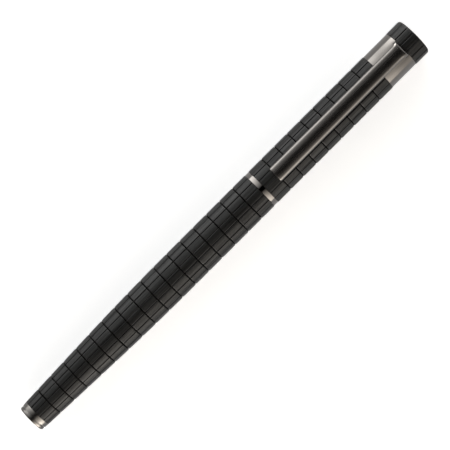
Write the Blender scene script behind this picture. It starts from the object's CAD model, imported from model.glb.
"""Rollerball pen: the pieces that show, their finishes, and a small studio.

The pen lies along X with its cap towards +X and its clip on top. Lengths are in metres. Round pieces are
turned about the pen's axis, which is level and AXIS above the floor. Angles about the axis are counted
from the top, +Z, towards -Y, and so by the right-hand rule about +X.
"""

from collections import namedtuple
from math import acos, asin, cos, hypot, pi, radians, sin

import bmesh
import bpy
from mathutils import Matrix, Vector


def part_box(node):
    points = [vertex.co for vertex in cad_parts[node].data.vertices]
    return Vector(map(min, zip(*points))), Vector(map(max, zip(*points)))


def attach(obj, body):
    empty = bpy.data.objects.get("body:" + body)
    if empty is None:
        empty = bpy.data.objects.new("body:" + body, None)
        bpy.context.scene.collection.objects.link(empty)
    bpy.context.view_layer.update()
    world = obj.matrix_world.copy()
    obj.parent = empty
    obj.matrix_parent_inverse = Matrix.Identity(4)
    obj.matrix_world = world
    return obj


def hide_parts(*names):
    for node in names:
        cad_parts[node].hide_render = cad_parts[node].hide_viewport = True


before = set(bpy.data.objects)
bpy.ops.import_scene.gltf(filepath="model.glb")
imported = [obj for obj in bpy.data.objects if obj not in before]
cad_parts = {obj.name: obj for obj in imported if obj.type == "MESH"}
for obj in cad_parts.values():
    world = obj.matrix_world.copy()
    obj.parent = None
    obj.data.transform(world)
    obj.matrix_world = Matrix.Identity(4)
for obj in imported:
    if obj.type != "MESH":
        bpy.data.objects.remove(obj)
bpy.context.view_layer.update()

bl_info = {
    "name": "Rollerball Pen",
    "version": (1, 0, 0),
    "blender": (4, 5, 0),
    "location": "View3D > Sidebar > Pen",
    "description": "Builds a capped rollerball pen round its packed CAD model, with its studio",
    "category": "Object",
}

MM = 0.001
THREAD_PITCH, THREAD_DEPTH = 0.75 * MM, 0.38 * MM    # of the thread that joins barrel and section


Span = namedtuple("Span", "rear front radius")


def span(node):
    """Where a turned CAD node lies along the pen, and its largest radius."""
    low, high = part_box(node)
    return Span(low.x, high.x, (high.y - low.y) / 2)


BARREL, SLEEVE, CROWN, BAND, LIP, LINER, RING, GRIP, NOSE, CORE, BUSH, TAIL, BUTTON = map(span, (
    "barrel_sleeve", "cap_sleeve", "cap_crown", "cap_band", "cap_lip_ring", "cap_liner",
    "section_ring", "grip_sleeve", "nose_cone", "section_core", "barrel_thread_bush", "tail_ring",
    "tail_button"))
THREAD_RADIUS = CORE.radius
AXIS = (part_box("barrel_sleeve")[0].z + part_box("barrel_sleeve")[1].z) / 2


# Sizes and colours that a user would change

def length(name, description, default):
    """A length property, in metres."""
    return bpy.props.FloatProperty(name=name, description=description, default=default,
                                   unit="LENGTH", precision=5)


def colour(name, description, default):
    """A linear colour property."""
    return bpy.props.FloatVectorProperty(name=name, description=description, default=default,
                                         subtype="COLOR", size=3, min=0, max=1)


def number(name, description, default):
    """A plain number property."""
    return bpy.props.FloatProperty(name=name, description=description, default=default)


def count(name, description, default):
    """A whole number property."""
    return bpy.props.IntProperty(name=name, description=description, default=default)


class PenPanelSettings(bpy.types.PropertyGroup):
    """Grooves that cut the barrel, cap and crown into panels."""
    columns: count("Columns", "Panels around the pen", 16)
    barrel_rows: count("Barrel rows", "Panels along the barrel", 17)
    barrel_first: length("Barrel first row", "Length of the row beside the cap", 4.52 * MM)
    barrel_pitch: length("Barrel pitch", "Length of the barrel's other rows", 4.773 * MM)
    barrel_turn: number("Barrel turn", "Angle from the top to a groove, in degrees", -7.6)
    cap_rows: count("Cap rows", "Panels along the cap sleeve", 9)
    cap_turn: number("Cap turn", "Angle from the top to a groove, in degrees", 3.4)
    ring_floor: length("Ring groove", "Half the floor's width of a groove round the pen", 0.10 * MM)
    side_floor: length("Long groove", "Half the floor's width of a groove along the pen", 0.035 * MM)
    groove_slope: length("Groove side", "Width of a groove's steep side", 0.07 * MM)
    groove_depth: length("Groove depth", "Depth of a groove", 0.15 * MM)
    pillow: length("Pillow", "Width of a panel's bevelled border", 0.17 * MM)
    pillow_drop: length("Pillow drop", "Depth of a panel's bevelled border", 0.075 * MM)
    corner: length("Panel corner", "Round on a panel's corners", 0.16 * MM)
    side_shade: number("Long groove shade", "How dark a groove along the pen is, of one round it", 0.12)
    lacquer: colour("Lacquer", "Colour of the panels", (0.0100, 0.0100, 0.0098))


class PenMetalSettings(bpy.types.PropertyGroup):
    """Polished metal trim."""
    gunmetal: colour("Gunmetal", "Colour of the clip, tail and nose", (0.208, 0.198, 0.187))
    band: colour("Bright gunmetal", "Colour of the band and the lip ring", (0.250, 0.235, 0.222))
    brass: colour("Brass", "Colour of the bare brass inside", (0.72, 0.50, 0.22))
    edge: length("Edge", "Round on the trim's edges", 0.10 * MM)


class PenClipSettings(bpy.types.PropertyGroup):
    """Spring clip."""
    neck: length("Neck", "Half the width below the root", 2.06 * MM)
    tip: length("Tip", "Half the width at the end", 2.22 * MM)
    flare: length("Flare", "Distance in which the root narrows to the neck", 1.1 * MM)
    shoulder: length("Shoulder", "Round along the upper edges", 0.95 * MM)
    crown: length("Crown", "Radius of the arched top", 7.5 * MM)


class PenStageSettings(bpy.types.PropertyGroup):
    """Studio."""
    distance: length("Camera distance", "Camera to the pen's axis", 650 * MM)
    frame_width: length("Frame width", "Width seen at the pen's axis", 115.37 * MM)
    roll: number("Roll", "Camera's turn about its line of sight, in degrees", -45.01)
    aim: bpy.props.FloatVectorProperty(
        name="Aim", description="Point of the pen's plane under the camera", size=2, unit="LENGTH",
        default=(0.86 * MM, 0.05 * MM), precision=5)
    left_glow: number("Left glow", "Radiance of the tent low on the left", 2.8)
    right_glow: number("Right glow", "Radiance of the tent low on the right", 2.2)
    left_tint: colour("Left tint", "Colour of the tent's left side", (1.0, 1.0, 0.99))
    right_tint: colour("Right tint", "Colour of the tent's right side", (1.0, 0.94, 0.86))
    floor: colour("Floor", "Colour of the floor", (0.86, 0.86, 0.86))
    floor_glow: number("Floor glow", "Light that shines through the table top", 0.62)


# Building blocks

def binary(operation, flipped=False):
    """A method of Value that adds a math node with two inputs."""
    def method(self, other):
        return self.graph.math(operation, *((other, self) if flipped else (self, other)))
    return method


class Value:
    """A number in a node tree. Arithmetic on it adds math nodes."""

    def __init__(self, graph, socket):
        self.graph, self.socket = graph, socket

    __add__ = __radd__ = binary("ADD")
    __mul__ = __rmul__ = binary("MULTIPLY")
    __sub__, __rsub__ = binary("SUBTRACT"), binary("SUBTRACT", True)
    __truediv__, __rtruediv__ = binary("DIVIDE"), binary("DIVIDE", True)
    __pow__, __lt__, __gt__ = binary("POWER"), binary("LESS_THAN"), binary("GREATER_THAN")

    def __abs__(self):
        return self.graph.math("ABSOLUTE", self)


class Graph:
    """A node tree being built, with short calls for what this file uses."""

    def __init__(self, tree):
        self.tree = tree

    def join(self, given, socket):
        """Link a value or a socket, or set a constant."""
        given = given.socket if isinstance(given, Value) else given
        if isinstance(given, bpy.types.NodeSocket):
            self.tree.links.new(given, socket)
        else:
            socket.default_value = given

    def node(self, kind, inputs=None, **settings):
        """A new node with its settings made and its inputs joined."""
        made = self.tree.nodes.new(kind)
        for name, setting in settings.items():
            setattr(made, name, setting)
        for key, given in (inputs or {}).items():
            self.join(given, made.inputs[key])
        return made

    def value(self, kind, inputs=None, output=0, **settings):
        """A number that a new node gives."""
        return Value(self, self.node(kind, inputs, **settings).outputs[output])

    def math(self, operation, *given):
        """The result of a math node."""
        return self.value("ShaderNodeMath", dict(enumerate(given)), operation=operation)

    def least(self, *given):
        """The smaller of two values."""
        return self.math("MINIMUM", *given)

    def most(self, *given):
        """The larger of two values."""
        return self.math("MAXIMUM", *given)

    def ramp(self, value, start, end, low, high, kind="LINEAR"):
        """A value mapped from one range to another and held inside it."""
        return self.value("ShaderNodeMapRange", dict(enumerate((value, start, end, low, high))),
                          interpolation_type=kind)

    def parts(self, vector):
        """A vector's three numbers."""
        made = self.node("ShaderNodeSeparateXYZ", {0: vector})
        return [Value(self, socket) for socket in made.outputs]

    def vector(self, *given):
        """A vector made of three numbers."""
        return self.node("ShaderNodeCombineXYZ", dict(enumerate(given))).outputs[0]

    def place(self):
        """Object coordinates."""
        return self.node("ShaderNodeTexCoord").outputs["Object"]

    def noise(self, vector, scale, detail, roughness=0.5):
        """Noise between 0 and 1."""
        return self.value("ShaderNodeTexNoise", {
            "Vector": vector, "Scale": scale, "Detail": detail, "Roughness": roughness}, "Fac")

    def bump(self, strength, distance, height):
        """A normal tilted by a height."""
        return self.node("ShaderNodeBump", {
            "Strength": strength, "Distance": distance, "Height": height}).outputs[0]

    def mix(self, factor, one, other, kind="MIX"):
        """Two colours mixed."""
        made = self.node("ShaderNodeMix", {"Factor": factor}, data_type="RGBA", blend_type=kind)
        first, second = [socket for socket in made.inputs if socket.type == "RGBA"]
        self.join(one, first)
        self.join(other, second)
        return [socket for socket in made.outputs if socket.type == "RGBA"][0]

    def shaded(self, tint, tone):
        """A colour made darker or lighter by a number."""
        grey = self.node("ShaderNodeCombineColor", {0: tone, 1: tone, 2: tone}).outputs[0]
        return self.mix(1.0, (*tint, 1.0), grey, "MULTIPLY")


def finish_mesh(bm, name, sharp=35):
    """A smooth-shaded object from a bmesh, with its faces turned outwards."""
    bmesh.ops.remove_doubles(bm, verts=bm.verts, dist=1e-7)
    bmesh.ops.recalc_face_normals(bm, faces=bm.faces)
    mesh = bpy.data.meshes.new(name)
    bm.to_mesh(mesh)
    bm.free()
    mesh.shade_smooth()
    mesh.set_sharp_from_angle(angle=radians(sharp))
    piece = bpy.data.objects.new(name, mesh)
    bpy.context.scene.collection.objects.link(piece)
    return piece


def rounded(corners):
    """The outline's points with each (x, radius, round) corner eased by its own round."""
    steps = 5
    longest = 0.49    # part of an edge that one corner may use
    points = []
    for index, corner in enumerate(corners):
        here = Vector(corner[:2])
        ease = corner[2] if len(corner) > 2 else 0
        if not ease:
            points.append(here)
            continue
        before = Vector(corners[index - 1][:2]) - here
        after = Vector(corners[(index + 1) % len(corners)][:2]) - here
        reach = min(ease, longest * before.length, longest * after.length)
        for step in range(steps + 1):
            t = step / steps
            points.append(here + before.normalized() * reach * (1 - t) ** 2
                          + after.normalized() * reach * t ** 2)
    return points


def around(x, radius, angle):
    """The point at an angle from the top, on a circle about the pen's axis."""
    return Vector((x, -radius * sin(angle), AXIS + radius * cos(angle)))


def lathe(name, corners, segments=128):
    """A closed piece turned about the pen's axis from (x, radius, round) corners."""
    bm = bmesh.new()
    rings = []
    for x, radius in rounded(corners):
        if radius < 1e-7:
            rings.append([bm.verts.new((x, 0, AXIS))])
        else:
            rings.append([bm.verts.new(around(x, radius, 2 * pi * k / segments))
                          for k in range(segments)])
    for index, ring in enumerate(rings):
        following = rings[(index + 1) % len(rings)]
        if len(ring) == 1 and len(following) == 1:
            continue
        for k in range(segments):
            after = (k + 1) % segments
            face = [ring[k % len(ring)], ring[after % len(ring)],
                    following[after % len(following)], following[k % len(following)]]
            bm.faces.new(list(dict.fromkeys(face)))    # a triangle where a ring is a point
    return finish_mesh(bm, name)


def show(piece, body, material, slot, *nodes):
    """Give a piece its finish, its body, its slot and the CAD nodes that it stands for."""
    piece.data.materials.clear()
    piece.data.materials.append(material)
    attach(piece, body)
    if nodes:
        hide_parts(*nodes)


def turned(node, body, material, slot, corners, segments=128):
    """A CAD node made afresh on the lathe."""
    show(lathe(node + "_turned", corners, segments), body, material, slot, node)


# Finishes

def new_material(name):
    """A new, empty material and its graph."""
    material = bpy.data.materials.new(name)
    material.use_nodes = True
    material.node_tree.nodes.clear()
    return material, Graph(material.node_tree)


def shine(graph, kind="BsdfPrincipled", output="Material", **sockets):
    """Close a tree with a shader. Its sockets are named with _ for a space."""
    inputs = {name.replace("_", " "): given for name, given in sockets.items()}
    shader = graph.node("ShaderNode" + kind, inputs)
    graph.node("ShaderNodeOutput" + output, {"Surface": shader.outputs[0]})


def pen_coordinates(graph):
    """(x, angle about the pen's axis, the whole vector) of the point shaded."""
    place = graph.place()
    x, y, z = graph.parts(place)
    return x, graph.math("ARCTAN2", y * -1.0, z - AXIS), place


def streaks(graph, x, angle, width, run, shift=0.0, detail=2.0):
    """Noise drawn out along the pen: streaks of a width around it and a length along it."""
    return graph.noise(graph.vector(angle * (BARREL.radius / width), x / run, shift), 1.0, detail, 0.6)


def turning_marks(graph, x, angle, width):
    """Noise drawn out around the pen, as a lathe leaves it."""
    return graph.noise(graph.vector(x / width, angle * 1.2, 0.0), 1.0, 3.0)


def panel_lacquer(name, settings, front, first, pitch, turn):
    """Black lacquer over brushed panels: streaks that start afresh in each panel, and hairlines."""
    material, graph = new_material(name)
    x, angle, _ = pen_coordinates(graph)

    # which panel this is: rows are counted from the front, columns from the first groove
    row = graph.math("FLOOR", (front - first + pitch - x) / pitch)
    turns = (angle - radians(turn)) / (2 * pi / settings.columns)
    row_shift, column_shift = 17.31, 5.77    # any two numbers that tell the panels apart
    panel = row * row_shift + graph.math("FLOOR", turns) * column_shift
    fine = streaks(graph, x, angle, 0.07 * MM, 9 * MM, panel)
    broad = streaks(graph, x, angle, 0.30 * MM, 20 * MM, panel, detail=1.0)

    # hairlines cut each panel into ribs
    ribs = 3.0
    rib = abs(graph.math("FRACT", turns * ribs) - 0.5)
    hairline = graph.ramp(rib, 0.44, 0.5, 0.0, 1.0, "SMOOTHSTEP")
    height = (fine * 0.55 + broad * 0.55) - hairline * 0.9

    # the grooves are matt and dark
    groove = graph.value("ShaderNodeAttribute", output="Fac", attribute_name="groove")
    open_face = graph.ramp(groove, 0.15, 0.75, 1.0, 0.0)
    shade = graph.ramp(broad, 0.3, 0.7, 0.55, 1.6) * graph.ramp(groove, 0.15, 0.75, 1.0, 0.25)
    shine(graph, Base_Color=graph.shaded(settings.lacquer, shade),
          Roughness=graph.ramp(fine, 0.3, 0.7, 0.26, 0.42) + (1.0 - open_face) * 0.5,
          Normal=graph.bump(0.8, 0.02 * MM, height), IOR=1.37,
          Specular_IOR_Level=open_face * graph.ramp(broad, 0.3, 0.7, 0.36, 0.65))
    return material


def plain_lacquer(name, tint, roughness):
    """Even black lacquer with the faint unevenness of a sprayed coat."""
    material, graph = new_material(name)
    x, angle, place = pen_coordinates(graph)
    orange_peel = graph.noise(place, 900.0, 2.0)
    turning = turning_marks(graph, x, angle, 0.25 * MM)
    shine(graph, Base_Color=(*tint, 1.0),
          Roughness=graph.ramp(turning, 0.3, 0.7, roughness * 0.85, roughness * 1.2),
          Normal=graph.bump(0.06, 0.02 * MM, orange_peel + turning * 0.5),
          Specular_IOR_Level=0.45, Coat_Weight=0.3, Coat_Roughness=0.08)
    return material


def metal(name, tint, roughness, grain="rings", width=0.05 * MM):
    """Metal with the grain that its making leaves: rings from a lathe, or lengthwise brushing."""
    material, graph = new_material(name)
    x, angle, place = pen_coordinates(graph)
    if grain == "rings":
        marks = turning_marks(graph, x, angle, width)
    else:
        marks = streaks(graph, x, angle, width, 6 * MM)
    tone = graph.ramp(graph.noise(place, 160.0, 3.0), 0.3, 0.7, 0.93, 1.06)
    shine(graph, Base_Color=graph.shaded(tint, tone), Metallic=1.0,
          Roughness=graph.ramp(marks, 0.25, 0.75, roughness * 0.75, roughness * 1.3),
          Normal=graph.bump(0.12, 0.01 * MM, marks))
    return material


def moulded(name, tint, roughness):
    """Moulded plastic or rubber: a fine grain and slightly uneven gloss."""
    material, graph = new_material(name)
    place = graph.place()
    cloud = graph.noise(place, 250.0, 2.0)
    shine(graph, Base_Color=(*tint, 1.0),
          Roughness=graph.ramp(cloud, 0.3, 0.7, roughness * 0.85, roughness * 1.15),
          Normal=graph.bump(0.08, 0.01 * MM, graph.noise(place, 4000.0, 2.0)))
    return material


# Rules, as Geometry Nodes trees

GROOVE_INPUTS = ("Ring Floor", "Side Floor", "Side Shade", "Groove Slope", "Groove Depth", "Pillow",
                 "Pillow Drop", "Corner")    # each is a panel setting of the same name


def new_tree(name, floats, integers):
    """A new tree's graph, and its named inputs as values."""
    tree = bpy.data.node_groups.new(name, "GeometryNodeTree")
    for kind, labels in (("Float", floats), ("Int", integers), ("Material", ["Material"])):
        for label in labels:
            tree.interface.new_socket(label, in_out="INPUT", socket_type="NodeSocket" + kind)
    tree.interface.new_socket("Geometry", in_out="OUTPUT", socket_type="NodeSocketGeometry")
    graph = Graph(tree)
    sockets = tree.nodes.new("NodeGroupInput").outputs
    return graph, {socket.name: Value(graph, socket) for socket in sockets if socket.name}


def flat_grid(graph, size_x, size_y, steps_x, steps_y):
    """A flat grid to be wrapped round the pen, and the x and y of its points."""
    grid = graph.node("GeometryNodeMeshGrid", {
        "Size X": size_x, "Size Y": size_y, "Vertices X": steps_x + 1, "Vertices Y": steps_y + 1})
    x, y, _ = graph.parts(graph.node("GeometryNodeInputPosition").outputs[0])
    return grid.outputs["Mesh"], x, y


def wrap(graph, grid, x, radius, angle, given):
    """Move a grid's points onto a surface about the pen's axis, and end the tree: merge the seam,
    realise instances and set the material."""
    across = radius * graph.math("SINE", angle) * -1.0
    up = given["Height"] + radius * graph.math("COSINE", angle)
    placed = graph.node("GeometryNodeSetPosition", {
        "Geometry": grid, "Position": graph.vector(x, across, up)})
    merged = graph.node("GeometryNodeMergeByDistance", {"Geometry": placed.outputs[0],
                                                        "Distance": 1e-6})
    real = graph.node("GeometryNodeRealizeInstances", {0: merged.outputs[0]})
    painted = graph.node("GeometryNodeSetMaterial", {"Geometry": real.outputs[0],
                                                     "Material": given["Material"]})
    graph.join(painted.outputs[0], graph.node("NodeGroupOutput").inputs[0])


def panel_tree():
    """A sleeve's outside, cut into panels: rows along the pen, counted from the front, and columns
    around it. The radius follows a cylinder, then a curve, then a straight taper."""
    graph, given = new_tree(
        "panelled_sleeve",
        ("Front", "First Row", "Pitch", "Last Row", "Radius", "Curve Start", "Curve Length", "Slope",
         "Turn", "Height", "Fine Reach", *GROOVE_INPUTS),
        ("Rows", "Columns", "Steps Along", "Steps Around", "Fine Steps"))
    ramp, least, most = graph.ramp, graph.least, graph.most
    rows, columns, pitch, corner = [given[k] for k in ("Rows", "Columns", "Pitch", "Corner")]
    grid, grid_x, grid_y = flat_grid(graph, rows, columns, rows * given["Steps Along"],
                                     columns * given["Steps Around"])

    def cell(coordinate, count, steps, size):
        """A grid coordinate as (whole cells passed, part of the cell), with its points crowded
        near the cell's borders, where the grooves are."""
        nudge = 1e-4    # keeps a border's points from falling into the cell before
        whole = coordinate + count / 2.0 + nudge
        passed = graph.math("FLOOR", whole)
        part = most((whole - passed) - nudge, 0.0)
        near = least(part, 1.0 - part)
        fine = given["Fine Steps"] / steps
        reach = given["Fine Reach"] / size
        inner = ramp(near, 0.0, fine, 0.0, 1.0) ** 1.5 * reach
        eased = inner + ramp(near, fine, 0.5, 0.0, 0.5 - reach)
        late = part > 0.5
        return passed, eased * (1.0 - late) + (1.0 - eased) * late

    rows_passed, row_part = cell(grid_x, rows, given["Steps Along"], pitch)
    width = given["Radius"] * (2 * pi) / columns
    columns_passed, column_part = cell(grid_y, columns, given["Steps Around"], width)

    def distance(passed):
        """How far back from the front a number of rows reaches."""
        first = least(passed, 1.0) * (given["First Row"] - pitch)
        last = most(passed - (rows - 1.0), 0.0) * (given["Last Row"] - pitch)
        return passed * pitch + (first + last)

    back = distance(rows_passed + row_part)
    x = given["Front"] - back
    # the sleeve's two ends have no groove
    far = 10 * MM
    to_front = (back - distance(rows_passed)) + (rows_passed < 0.5) * far
    to_rear = (distance(rows_passed + 1.0) - back) + (rows_passed > rows - 1.5) * far
    to_ring = least(to_front, to_rear)

    # the sleeve's radius at x
    behind = most(given["Curve Start"] - x, 0.0)
    bent = least(behind, given["Curve Length"])
    drop = bent * bent / (given["Curve Length"] * 2.0)
    full = given["Radius"] - given["Slope"] * (drop + (behind - bent))

    # how far inside its panel a point lies, as for a rectangle with round corners
    to_side = least(column_part, 1.0 - column_part) * (full * (2 * pi) / columns)
    short_x = corner - (to_ring - given["Ring Floor"])
    short_y = corner - (to_side - given["Side Floor"])
    out_x, out_y = most(short_x, 0.0), most(short_y, 0.0)
    slant = graph.math("SQRT", out_x * out_x + out_y * out_y)
    inside = corner - (slant + least(most(short_x, short_y), 0.0))
    steep = ramp(inside, 0.0, given["Groove Slope"], 1.0, 0.0, "SMOOTHSTEP")
    roll = ramp(inside, 0.0, given["Pillow"], 1.0, 0.0) ** 1.25 * given["Pillow Drop"]
    cut = steep * given["Groove Depth"] + roll

    # the finish darkens the grooves by this attribute, those round the pen more than those along it
    shade = ramp(short_x - short_y, corner * -0.5, corner * 0.5, given["Side Shade"], 1.0)
    marked = graph.node("GeometryNodeStoreNamedAttribute", {"Geometry": grid, "Name": "groove"},
                        data_type="FLOAT", domain="POINT")
    value = [socket for socket in marked.inputs if socket.name == "Value" and socket.enabled][0]
    graph.join(steep * shade, value)
    angle = (columns_passed + column_part) * (2 * pi / columns) + given["Turn"]
    wrap(graph, marked.outputs[0], x, full - cut, angle, given)
    return graph.tree


def thread_tree():
    """A right-hand screw thread's flank surface about the pen's axis. Root and Crest are radii; a
    crest nearer the axis than the root makes a female thread. It fades out at both ends."""
    graph, given = new_tree(
        "screw_thread", ("Start", "Length", "Pitch", "Root", "Crest", "Fade", "Height"),
        ("Steps Along", "Steps Around"))
    grid, grid_x, grid_y = flat_grid(graph, 1.0, 1.0, given["Steps Along"], given["Steps Around"])
    passed = (grid_x + 0.5) * given["Length"]
    x = given["Start"] + passed
    turn = grid_y + 0.5
    many = 1000.0    # whole turns, which keep the phase above zero
    phase = graph.math("FRACT", (x / given["Pitch"] + many) - turn)
    flat = 0.14    # part of the crest, and of the root, that is flat
    flank = graph.ramp(abs(phase - 0.5) * 2.0, flat, 1 - flat, 0.0, 1.0)
    end = graph.least(passed, given["Length"] - passed)
    flank = flank * graph.ramp(end, 0.0, given["Fade"], 0.0, 1.0)
    radius = given["Root"] + flank * (given["Crest"] - given["Root"])
    wrap(graph, grid, x, radius, turn * (2 * pi), given)
    return graph.tree


def grow(name, tree, values):
    """The result of a Geometry Nodes tree as a plain bmesh."""
    seed = bpy.data.objects.new(name, bpy.data.meshes.new(name))
    bpy.context.scene.collection.objects.link(seed)
    modifier = seed.modifiers.new("rule", "NODES")
    modifier.node_group = tree
    sockets = {item.name: item.identifier for item in tree.interface.items_tree
               if item.item_type == "SOCKET" and item.in_out == "INPUT"}
    for label, given in values.items():
        modifier[sockets[label]] = given
    graph = bpy.context.evaluated_depsgraph_get()
    mesh = bpy.data.meshes.new_from_object(seed.evaluated_get(graph))
    seed.modifiers.remove(modifier)
    bpy.data.objects.remove(seed)
    bm = bmesh.new()
    bm.from_mesh(mesh)
    bpy.data.meshes.remove(mesh)
    return bm


def thread(name, start, length_along, root, crest, steps):
    """A bmesh of the barrel's screw thread, male or female."""
    return grow(name, thread_tree(), {
        "Start": start, "Length": length_along, "Pitch": THREAD_PITCH, "Root": root, "Crest": crest,
        "Fade": THREAD_PITCH, "Height": AXIS, "Steps Along": steps, "Steps Around": 72})


def open_ends(bm):
    """The edges of an open tube's rear and front rims."""
    rims = [edge for edge in bm.edges if edge.is_boundary]
    places = [edge.verts[0].co.x for edge in rims]
    middle = (min(places) + max(places)) / 2
    rear = [edge for edge in rims if edge.verts[0].co.x < middle]
    front = [edge for edge in rims if edge.verts[0].co.x >= middle]
    return rear, front


def carry_on(bm, rim, path):
    """Extend a rim along (x, radius) stations, keeping each point's angle, and return the last rim."""
    for x, radius in path:
        made = bmesh.ops.extrude_edge_only(bm, edges=rim)["geom"]
        rim = [item for item in made if isinstance(item, bmesh.types.BMEdge)]
        for vertex in [item for item in made if isinstance(item, bmesh.types.BMVert)]:
            away = hypot(vertex.co.y, vertex.co.z - AXIS)
            vertex.co.x = x
            vertex.co.y *= radius / away
            vertex.co.z = AXIS + (vertex.co.z - AXIS) * radius / away
    return rim


def show_panels(bm, node, body, lacquer):
    """Finish a panelled piece."""
    show(finish_mesh(bm, node + "_panelled"), body, lacquer, "black_lacquer", node)


def close_tube(bm, path):
    """Carry a tube's front rim along (x, radius) stations, back inside it, to its rear rim."""
    rear, front = open_ends(bm)
    bmesh.ops.bridge_loops(bm, edges=carry_on(bm, front, path) + rear)


def panel_sleeve(name, settings, rows, front, first, pitch, last, radius, turn, curve=(0, 1, 0)):
    """A bmesh of a panelled outside. curve is (start, length, slope) of the taper."""
    return grow(name, panel_tree(), {
        "Front": front, "First Row": first, "Pitch": pitch, "Last Row": last, "Radius": radius,
        "Curve Start": curve[0], "Curve Length": curve[1], "Slope": curve[2], "Turn": radians(turn),
        "Height": AXIS, "Fine Reach": 0.55 * MM, "Rows": rows, "Columns": settings.columns,
        "Steps Along": 18, "Steps Around": 18, "Fine Steps": 7,
        **{label: getattr(settings, label.lower().replace(" ", "_")) for label in GROOVE_INPUTS}})


# Pieces

def build_barrel_sleeve(settings):
    """Tapered barrel tube with its panels."""
    curve_start = BARREL.front - 28.2 * MM
    curve_length = 30.4 * MM
    taper = curve_start - curve_length / 2 - BARREL.rear
    slope = (BARREL.radius - TAIL.radius) / taper
    rows = settings.barrel_rows
    first, pitch = settings.barrel_first, settings.barrel_pitch
    last = BARREL.front - BARREL.rear - first - (rows - 2) * pitch
    bm = panel_sleeve("barrel_sleeve_panels", settings, rows, BARREL.front, first, pitch, last,
                      BARREL.radius, settings.barrel_turn, (curve_start, curve_length, slope))
    wall = 0.6 * MM
    tail_bore, tail_depth = 3.4 * MM, 6 * MM
    inner = BARREL.radius - wall
    step = TAIL.radius + tail_depth * slope - wall
    close_tube(bm, [
        (BARREL.front, inner), (curve_start, inner), (BARREL.rear + taper, inner - 0.30 * MM),
        (curve_start - curve_length, inner - slope * curve_length / 2),
        (BARREL.rear + tail_depth, step), (BARREL.rear + tail_depth, tail_bore),
        (BARREL.rear, tail_bore)])
    show_panels(bm, "barrel_sleeve", "barrel", panel_lacquer(
        "barrel_lacquer", settings, BARREL.front, first, pitch, settings.barrel_turn))


def build_cap_sleeve(settings):
    """Cap tube with its panels."""
    pitch = (SLEEVE.front - SLEEVE.rear) / settings.cap_rows
    bm = panel_sleeve("cap_sleeve_panels", settings, settings.cap_rows, SLEEVE.front, pitch, pitch,
                      pitch, SLEEVE.radius, settings.cap_turn)
    close_tube(bm, [(SLEEVE.front, LINER.radius), (SLEEVE.rear, LINER.radius)])
    show_panels(bm, "cap_sleeve", "cap", panel_lacquer(
        "cap_lacquer", settings, SLEEVE.front, pitch, pitch, settings.cap_turn))


def build_crown(settings):
    """Crown: one row of panels with a rounded rim, a gently domed end and a blind screw hole."""
    rim_round = 0.5 * MM
    screw, reach = 1.45 * MM, 3.2 * MM
    pitch = CROWN.front - rim_round - CROWN.rear
    bm = panel_sleeve("crown_panels", settings, 1, CROWN.rear + pitch, pitch, pitch, pitch,
                      CROWN.radius, settings.barrel_turn)
    rear, front = open_ends(bm)
    lip, base, dome = CROWN.radius - 0.10 * MM, CROWN.radius - 0.3 * MM, 0.04 * MM
    face = lip - rim_round
    rim_steps, dome_steps = 8, 6
    point = 1e-9    # a radius that merges into one vertex
    end = [(CROWN.front - rim_round * (1 - sin(a)) - dome, lip - rim_round * (1 - cos(a)))
           for a in [pi / 2 * k / rim_steps for k in range(rim_steps + 1)]]
    end += [(CROWN.front - dome * (radius / face) ** 2, radius)
            for radius in [face * k / dome_steps for k in range(dome_steps - 1, 0, -1)]]
    carry_on(bm, front, end + [(CROWN.front, point)])
    carry_on(bm, rear, [(CROWN.rear, base), (CROWN.rear, screw), (CROWN.rear + reach, screw),
                        (CROWN.rear + reach, point)])
    show_panels(bm, "cap_crown", "cap", panel_lacquer(
        "crown_lacquer", settings, CROWN.front, pitch, pitch, settings.barrel_turn))


def build_tail(metal_settings):
    """Tail ring and the button whose stud holds it."""
    edge = metal_settings.edge
    finish = metal("gunmetal_tail", metal_settings.gunmetal, 0.24)
    small = TAIL.radius - 0.08 * MM
    stud = 1.5 * MM
    turned("tail_ring", "barrel", finish, "gunmetal", [
        (TAIL.rear, stud), (TAIL.front, stud), (TAIL.front, TAIL.radius, edge),
        (TAIL.rear, small, edge)])
    shoulder = BUTTON.rear + 0.82 * MM
    groove = shoulder + 0.28 * MM
    floor = BUTTON.radius - 0.3 * MM
    turned("tail_button", "barrel", finish, "gunmetal", [
        (BUTTON.rear, 0), (BUTTON.front, 0), (BUTTON.front, stud, edge), (groove, stud),
        (groove, floor), (shoulder, floor), (shoulder, BUTTON.radius, 0.7 * edge),
        (BUTTON.rear, BUTTON.radius - 0.02 * MM, 0.45 * MM)])


def build_bush(metal_settings):
    """Brass bush with the female thread."""
    clearance, chamfer = 0.05 * MM, 0.3 * MM
    bore = THREAD_RADIUS + clearance
    bm = thread("bush_thread", BUSH.rear + chamfer, BUSH.front - BUSH.rear - 2 * chamfer, bore,
                bore - THREAD_DEPTH, 150)
    close_tube(bm, [
        (BUSH.front, bore + chamfer), (BUSH.front, BUSH.radius), (BUSH.rear, BUSH.radius),
        (BUSH.rear, bore + chamfer)])
    show(finish_mesh(bm, "thread_bush_cut"), "barrel", metal("bush_brass", metal_settings.brass, 0.25),
         "brass", "barrel_thread_bush")


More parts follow.
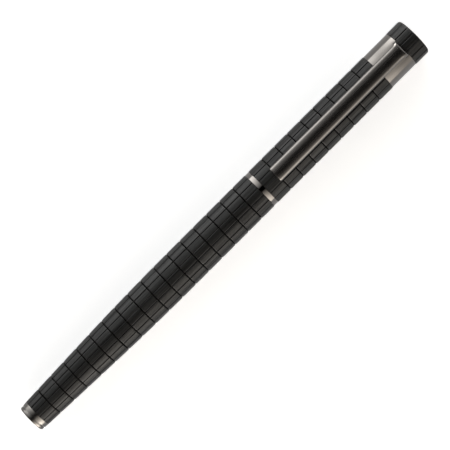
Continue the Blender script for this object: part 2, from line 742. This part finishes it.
def build_band(metal_settings):
    """Plain metal band with a slot for the clip's foot."""
    edge = 0.6 * metal_settings.edge
    band = lathe("cap_band_turned", [
        (BAND.rear, LINER.radius), (BAND.front, LINER.radius), (BAND.front, BAND.radius, edge),
        (BAND.rear, BAND.radius, edge)], segments=160)
    foot_low, foot_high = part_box("clip")
    side = foot_high.y + 0.10 * MM
    bm = bmesh.new()
    bmesh.ops.create_cube(bm, size=1)
    depth = BAND.front - (foot_high.x - 1.0 * MM)
    scale = Vector((2 * depth, 2 * side, 2 * MM))
    for vertex in bm.verts:
        vertex.co = vertex.co * scale + Vector((BAND.front, 0, AXIS + BAND.radius))
    cutter = finish_mesh(bm, "band_cutter")
    cut = band.modifiers.new("slot", "BOOLEAN")
    cut.object = cutter
    cut.solver = "EXACT"
    graph = bpy.context.evaluated_depsgraph_get()
    mesh = bpy.data.meshes.new_from_object(band.evaluated_get(graph))
    band.modifiers.remove(cut)
    band.data = mesh
    bpy.data.objects.remove(cutter)
    mesh.set_sharp_from_angle(angle=radians(35))
    show(band, "cap", metal("gunmetal_band", metal_settings.band, 0.13, width=0.04 * MM),
         "gunmetal", "cap_band")


def build_lip(metal_settings):
    """Lip ring with the spigot that shuts the split ring into the liner."""
    edge = metal_settings.edge
    bore = LINER.radius - 0.475 * MM
    finish = metal("gunmetal_lip", metal_settings.band, 0.09, width=0.03 * MM)
    turned("cap_lip_ring", "cap", finish, "gunmetal", [
        (LIP.rear, bore, 0.15 * MM), (LIP.front, bore), (LIP.front, LINER.radius),
        (SLEEVE.rear, LINER.radius), (SLEEVE.rear, LIP.radius, edge),
        (LIP.rear, LIP.radius, edge)], segments=160)


def clip_section(half, thickness, flatness, settings):
    """Right half of the clip's section as (across, out) points, from the top's middle to the
    underside's middle. out is 0 at the top and falls to minus the thickness. flatness runs from 0,
    the arm's arched top, to 1, the foot's flat one."""
    flat_shoulder, flat_arch = 0.12 * MM, 60 * MM
    shoulder = settings.shoulder + (flat_shoulder - settings.shoulder) * flatness
    arch = 1 / ((1 - flatness) / settings.crown + flatness / flat_arch)
    lean = asin((half - shoulder) / (arch - shoulder))
    centre = Vector(((arch - shoulder) * sin(lean), (arch - shoulder) * cos(lean) - arch))
    arch_steps, shoulder_steps, bevel_steps = 8, 10, 4
    points = []
    for k in range(arch_steps):
        a = lean * k / arch_steps
        points.append(Vector((arch * sin(a), arch * cos(a) - arch)))
    for k in range(shoulder_steps + 1):
        a = lean + (pi / 2 - lean) * k / shoulder_steps
        points.append(centre + Vector((shoulder * sin(a), shoulder * cos(a))))
    bevel = 0.18 * MM
    for k in range(bevel_steps + 1):
        a = pi / 2 * k / bevel_steps
        points.append(Vector((half - bevel + bevel * cos(a), bevel - thickness - bevel * sin(a))))
    points.append(Vector((0, -thickness)))
    return points


def build_clip(clip_settings, metal_settings):
    """Clip: one section carried from its end along the arm, round the bend and down the foot."""
    low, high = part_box("clip")
    top, end, root = high.z, low.x, high.x
    root_half = (high.y - low.y) / 2
    bend, foot, drop = 1.6 * MM, 0.9 * MM, 0.25 * MM
    thickness = 1.15 * MM
    pad_near, pad_far, pad_height = 0.6 * MM, 3.8 * MM, 0.5 * MM

    fall = 2.718    # the flare shrinks to one part in this over the flare distance

    def half_width(distance):
        """Half width at a distance from the root, along the pen."""
        run = max(0.0, min(1.0, distance / (root - end)))
        plain = clip_settings.neck + (clip_settings.tip - clip_settings.neck) * run
        flared = (root_half - clip_settings.neck) * fall ** (-(distance / clip_settings.flare) ** 1.5)
        return min(plain + flared, root_half)

    # (x, how far inside the full section) along the arm, with the end rounded off
    stations = []
    end_round, round_steps = 0.22 * MM, 4
    for k in range(round_steps + 1):
        a = pi / 2 * k / round_steps
        inset = end_round * (1 - sin(a))
        stations.append((end + end_round * (1 - cos(a)), inset))
    arm_steps = 44
    start, stop = end + end_round, root - bend
    stations += [(start + (stop - start) * k / arm_steps, 0.0) for k in range(1, arm_steps + 1)]

    # (point on the upper face, outward direction, half width, thickness, flatness)
    rings = []
    for x, inset in stations:
        away = x - end
        half = half_width(root - x) - inset
        height = top - drop * (root - bend - x) / (root - bend - end) - inset
        bump = 0.0
        if pad_near < away < pad_far:
            bump = pad_height * sin(pi * (away - pad_near) / (pad_far - pad_near)) ** 0.7
        depth = thickness - 2 * inset + bump
        rings.append((Vector((x, 0, height)), Vector((0, 0, 1)), half, depth, 0.0))
    bend_centre = Vector((root - bend, 0, top - bend))
    bend_steps = 14
    for k in range(1, bend_steps + 1):
        a = pi / 2 * k / bend_steps
        out = Vector((sin(a), 0, cos(a)))
        point = bend_centre + out * bend
        depth = thickness + (foot - thickness) * k / bend_steps
        rings.append((point, out, half_width(root - point.x), depth, (k / bend_steps) ** 2))
    foot_steps = 3
    for k in range(1, foot_steps + 1):
        point = Vector((root, 0, (top - bend) + (low.z - (top - bend)) * k / foot_steps))
        rings.append((point, Vector((1, 0, 0)), root_half, foot, 1.0))

    bm = bmesh.new()
    loops = []
    for point, out, half, depth, flatness in rings:
        right = clip_section(half, depth, flatness, clip_settings)
        left = [Vector((-p.x, p.y)) for p in reversed(right[1:-1])]
        loops.append([bm.verts.new(point + out * p.y + Vector((0, -p.x, 0))) for p in right + left])
    for near, far in zip(loops, loops[1:]):
        for k in range(len(near)):
            after = (k + 1) % len(near)
            bm.faces.new((near[k], near[after], far[after], far[k]))
    bm.faces.new(loops[0])
    bm.faces.new(list(reversed(loops[-1])))
    show(finish_mesh(bm, "clip_pressed", sharp=50), "clip",
         metal("gunmetal_clip", metal_settings.band, 0.23, grain="streaks", width=0.10 * MM),
         "gunmetal", "clip")


def build_section(metal_settings):
    """Section ring, grip sleeve, nose cone and the threaded core."""
    edge = metal_settings.edge
    trim = metal("gunmetal_section", metal_settings.gunmetal, 0.11)
    core_radius = THREAD_RADIUS - 0.48 * MM
    groove_start, groove_end = RING.rear + 2.3 * MM, RING.rear + 3.2 * MM
    floor = RING.radius - 0.2 * MM
    turned("section_ring", "section", trim, "gunmetal", [
        (RING.rear, core_radius), (RING.front, core_radius), (RING.front, RING.radius, 1.5 * edge),
        (groove_end, RING.radius, 1.5 * edge), (groove_end, floor, 0.5 * edge),
        (groove_start, floor, 0.5 * edge), (groove_start, RING.radius, 1.5 * edge),
        (RING.rear, RING.radius, edge)])

    # the grip tapers in a shallow waist, with three fine grooves near its front end
    inner_step = GRIP.front - 9.6 * MM
    neck = 2.7 * MM
    mid_radius = core_radius + 0.38 * MM
    outline = [(GRIP.rear, core_radius), (inner_step, core_radius), (inner_step, neck),
               (GRIP.front, neck), (GRIP.front, NOSE.radius, edge)]
    groove_pitch = 1.1 * MM
    for k in range(3):
        centre = GRIP.front - 1.6 * MM - k * groove_pitch
        share = (GRIP.front - centre) / (GRIP.front - inner_step)
        radius = NOSE.radius + (mid_radius - NOSE.radius) * share
        half = 0.16 * MM
        outline += [(centre + half, radius - 0.004 * MM, 0.5 * edge), (centre, radius - 0.12 * MM, edge),
                    (centre - half, radius + 0.004 * MM, 0.5 * edge)]
    outline += [(inner_step, mid_radius, 4 * MM), (GRIP.rear, GRIP.radius, edge)]
    finish = plain_lacquer("grip_lacquer", (0.008, 0.008, 0.008), 0.22)
    turned("grip_sleeve", "section", finish, "grip_lacquer", outline)

    hole, neck_bore = 1.27 * MM, 2.12 * MM
    shoulder = NOSE.front - 2.58 * MM
    tip_radius = hole + 0.35 * MM
    turned("nose_cone", "section", trim, "gunmetal", [
        (NOSE.rear, neck), (NOSE.rear + 2 * MM, neck), (NOSE.rear + 2 * MM, neck_bore),
        (shoulder, neck_bore), (shoulder, hole), (NOSE.front, hole, 0.05 * MM),
        (NOSE.front, tip_radius, 0.15 * MM), (NOSE.rear, NOSE.radius, edge)])

    # core: bore, step, spigot and the male thread
    chamfer = 0.35 * MM
    bore, small_bore = 3.12 * MM, 2.3 * MM
    thread_end = RING.rear
    step = GRIP.front - 10 * MM
    root, runout = THREAD_RADIUS - THREAD_DEPTH, 0.8 * MM
    bm = thread("core_thread", CORE.rear + chamfer, thread_end - runout - CORE.rear - chamfer, root,
                THREAD_RADIUS, 120)
    close_tube(bm, [
        (thread_end, root), (thread_end, core_radius), (inner_step, core_radius), (inner_step, neck),
        (CORE.front, neck), (CORE.front, small_bore), (step, small_bore), (step, bore),
        (CORE.rear, bore), (CORE.rear, root - chamfer / 2)])
    show(finish_mesh(bm, "section_core_cut"), "section",
         metal("core_brass", metal_settings.brass, 0.25), "brass", "section_core")


def build_refill():
    """What shows of the refill: its tip, with a conical end, and its ball."""
    rear, front, radius = span("refill_tip")
    ball_low, ball_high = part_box("writing_ball")
    ball = (ball_high.x - ball_low.x) / 2
    seat = ball + 0.02 * MM
    ball_x = ball_low.x + ball
    opening = acos((front - ball_x) / seat)
    cup_steps, ball_steps = 12, 16
    cup = [(ball_x + seat * cos(a), seat * sin(a))
           for a in [pi + (opening - pi) * k / cup_steps for k in range(cup_steps + 1)]]
    rim = cup[-1][1] + 0.04 * MM
    cone_rear = front - 3.3 * MM
    finish = metal("nickel_silver", (0.56, 0.53, 0.47), 0.16, width=0.03 * MM)
    turned("refill_tip", "refill", finish, "refill_nickel", [
        (rear, 0)] + cup + [
        (front, rim, 0.02 * MM), (front - 0.7 * MM, 0.62 * MM, 0.15 * MM),
        (cone_rear, radius, 0.4 * MM), (rear, radius, 0.05 * MM)], segments=96)
    arc = [(ball_x - ball * cos(pi * k / ball_steps), ball * sin(pi * k / ball_steps))
           for k in range(ball_steps + 1)]
    show(lathe("writing_ball_ground", arc, segments=32), "ball",
         metal("tungsten_carbide", (0.30, 0.30, 0.32), 0.12, width=0.02 * MM), "carbide",
         "writing_ball")


def finish_cad_nodes():
    """Finishes for the CAD nodes that stay."""
    steel = metal("spring_steel", (0.55, 0.55, 0.56), 0.22)
    tube = metal("refill_tube_steel", (0.60, 0.60, 0.61), 0.18, grain="streaks", width=0.1 * MM)
    black = moulded("black_moulding", (0.012, 0.012, 0.012), 0.45)
    grey = moulded("refill_moulding", (0.05, 0.05, 0.055), 0.35)
    fibre = moulded("ink_fibre", (0.02, 0.025, 0.09), 0.85)
    rubber = moulded("seal_rubber", (0.03, 0.03, 0.03), 0.7)
    finishes = {
        "clip_ring": steel, "crown_screw": steel, "snap_ring": steel, "refill_spring": steel,
        "refill_tube": tube, "refill_end_plug": grey, "refill_front": grey,
        "ink_reservoir": fibre, "feed_rod": fibre, "tip_seal": rubber,
        "cap_liner": black, "inner_cap": black, "tail_bush": black,
    }
    for node, material in finishes.items():
        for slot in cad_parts[node].material_slots:
            slot.material = material


def build_tent(settings):
    """A light tent over the pen: dark along the top and brighter towards the floor, a little dimmer
    over the cap's end, with a soft box beyond the cap on the left and beyond the tail on the right."""
    radius, reach, segments = 0.4, 3.0, 48
    half_arc = radians(95)
    bm = bmesh.new()
    ends = [[bm.verts.new((x, radius * sin(a), AXIS + radius * cos(a)))
             for a in [half_arc * (2 * k / segments - 1) for k in range(segments + 1)]]
            for x in (-reach, reach)]
    for k in range(segments):
        bm.faces.new((ends[0][k], ends[1][k], ends[1][k + 1], ends[0][k + 1]))
    tent = finish_mesh(bm, "studio_tent")
    tent.visible_camera = False
    material, graph = new_material("tent_light")
    ramp, least, most = graph.ramp, graph.least, graph.most
    x, y, z = graph.parts(graph.place())
    lean = graph.math("ARCTAN2", abs(y), z - AXIS)
    left = y > 0.0

    def sided(on_left, on_right):
        """A value that differs between the two sides."""
        return on_right + left * (on_left - on_right)

    # by the angle from the top: nothing, a low step, then a rise towards the floor
    dark, full, step = sided(radians(9.5), radians(14.0)), radians(78), 0.15
    glow = ramp(lean, dark, full, 0.0, 1.0) ** 1.25 * sided(settings.left_glow, settings.right_glow)
    glow = glow + ramp(lean, dark, dark + radians(2), 0.0, step)

    # along the pen: a slant from the middle towards each end, held between two limits
    middle, weakest, strongest = 0.01, 0.3, 1.3
    to_cap, to_tail = most(x - middle, 0.0), most(middle - x, 0.0)
    slant = sided(1.08, 1.15) - to_cap * sided(5.2, 8.3)
    slant = least(most(slant - to_tail * sided(3.0, -1.0), weakest), strongest)

    # the soft boxes beyond the pen's ends, and the tent's dim far ends
    box = ramp(x * sided(1.0, -1.0), 0.09, 0.20, 0.0, 1.9, "SMOOTHSTEP")
    box = box * ramp(lean, radians(48), radians(72), 0.15, 1.0)
    fade = ramp(abs(x), 0.5, 0.9, 1.0, 0.12)
    tint = graph.mix(left, (*settings.right_tint, 1.0), (*settings.left_tint, 1.0))
    shine(graph, "Emission", Color=tint, Strength=glow * (slant + box) * fade)
    tent.data.materials.append(material)


def build_stage(settings):
    """Pale table top lit from within, a light tent, a pale surround and the camera."""
    bm = bmesh.new()
    bmesh.ops.create_grid(bm, x_segments=1, y_segments=1, size=3)
    floor = finish_mesh(bm, "studio_floor")
    floor.visible_glossy = False
    material, graph = new_material("floor_paper")
    white = (1.0, 1.0, 1.0, 1.0)
    shine(graph, Base_Color=(*settings.floor, 1.0), Roughness=1.0,
          Specular_IOR_Level=0.0, Emission_Color=white, Emission_Strength=settings.floor_glow)
    floor.data.materials.append(material)
    build_tent(settings)

    world = bpy.data.worlds.new("studio")
    world.use_nodes = True
    world.node_tree.nodes.clear()
    graph = Graph(world.node_tree)
    height = graph.parts(graph.node("ShaderNodeTexCoord").outputs["Generated"])[2]
    below, above, blend = 0.58, 0.95, 0.02    # radiance under and over the horizon
    shine(graph, "Background", "World", Color=white,
          Strength=graph.ramp(height, -blend, blend, below, above))
    bpy.context.scene.world = world
    bpy.context.scene.view_settings.view_transform = "Standard"

    lens = bpy.data.cameras.new("studio_camera")
    sensor = 36.0
    lens.sensor_width = sensor
    lens.lens = sensor * settings.distance / settings.frame_width
    lens.clip_start = 0.01
    camera = bpy.data.objects.new("studio_camera", lens)
    camera.location = (settings.aim[0], settings.aim[1], AXIS + settings.distance)
    camera.rotation_euler = (0, 0, radians(settings.roll))
    bpy.context.scene.collection.objects.link(camera)
    bpy.context.scene.camera = camera


# Add-on

class PEN_OT_barrel(bpy.types.Operator):
    """Build the barrel sleeve, its thread bush and its metal tail"""
    bl_idname = "pen.barrel"
    bl_label = "Barrel"

    def execute(self, context):
        build_barrel_sleeve(context.scene.pen_panels)
        build_bush(context.scene.pen_metal)
        build_tail(context.scene.pen_metal)
        return {"FINISHED"}


class PEN_OT_cap(bpy.types.Operator):
    """Build the cap sleeve, crown, band and lip ring"""
    bl_idname = "pen.cap"
    bl_label = "Cap"

    def execute(self, context):
        build_cap_sleeve(context.scene.pen_panels)
        build_crown(context.scene.pen_panels)
        build_band(context.scene.pen_metal)
        build_lip(context.scene.pen_metal)
        return {"FINISHED"}


class PEN_OT_clip(bpy.types.Operator):
    """Build the clip"""
    bl_idname = "pen.clip"
    bl_label = "Clip"

    def execute(self, context):
        build_clip(context.scene.pen_clip, context.scene.pen_metal)
        return {"FINISHED"}


class PEN_OT_section(bpy.types.Operator):
    """Build the grip section"""
    bl_idname = "pen.section"
    bl_label = "Section"

    def execute(self, context):
        build_section(context.scene.pen_metal)
        return {"FINISHED"}


class PEN_OT_refill(bpy.types.Operator):
    """Build the refill's tip and ball"""
    bl_idname = "pen.refill"
    bl_label = "Refill"

    def execute(self, context):
        build_refill()
        return {"FINISHED"}


class PEN_OT_inner(bpy.types.Operator):
    """Finish the CAD nodes that stay as they are"""
    bl_idname = "pen.inner"
    bl_label = "Inner pieces"

    def execute(self, context):
        finish_cad_nodes()
        return {"FINISHED"}


class PEN_OT_stage(bpy.types.Operator):
    """Build the floor, the light and the camera"""
    bl_idname = "pen.stage"
    bl_label = "Studio"

    def execute(self, context):
        build_stage(context.scene.pen_stage)
        return {"FINISHED"}


class PEN_PT_sidebar(bpy.types.Panel):
    """Lists the pen's sizes and the steps that build it"""
    bl_idname = "PEN_PT_sidebar"
    bl_label = "Rollerball Pen"
    bl_space_type = "VIEW_3D"
    bl_region_type = "UI"
    bl_category = "Pen"

    def draw(self, context):
        for group in GROUPS:
            box = self.layout.box()
            settings = getattr(context.scene, group)
            for name in settings.bl_rna.properties.keys():
                if name not in ("rna_type", "name"):
                    box.prop(settings, name)
        for operator in OPERATORS:
            self.layout.operator(operator.bl_idname)


GROUPS = {
    "pen_panels": PenPanelSettings,
    "pen_metal": PenMetalSettings,
    "pen_clip": PenClipSettings,
    "pen_stage": PenStageSettings,
}
OPERATORS = (PEN_OT_barrel, PEN_OT_cap, PEN_OT_clip, PEN_OT_section, PEN_OT_refill, PEN_OT_inner,
             PEN_OT_stage)


def register():
    """Register the settings, the operators and the panel."""
    for name, group in GROUPS.items():
        bpy.utils.register_class(group)
        setattr(bpy.types.Scene, name, bpy.props.PointerProperty(type=group))
    for operator in OPERATORS:
        bpy.utils.register_class(operator)
    bpy.utils.register_class(PEN_PT_sidebar)


def unregister():
    """Take them away again."""
    bpy.utils.unregister_class(PEN_PT_sidebar)
    for operator in reversed(OPERATORS):
        bpy.utils.unregister_class(operator)
    for name, group in GROUPS.items():
        delattr(bpy.types.Scene, name)
        bpy.utils.unregister_class(group)


def main():
    """Build everything and note both boxes."""
    register()
    bpy.ops.pen.barrel()
    bpy.ops.pen.cap()
    bpy.ops.pen.clip()
    bpy.ops.pen.section()
    bpy.ops.pen.refill()
    bpy.ops.pen.inner()
    bpy.ops.pen.stage()


if __name__ == "__main__":
    main()
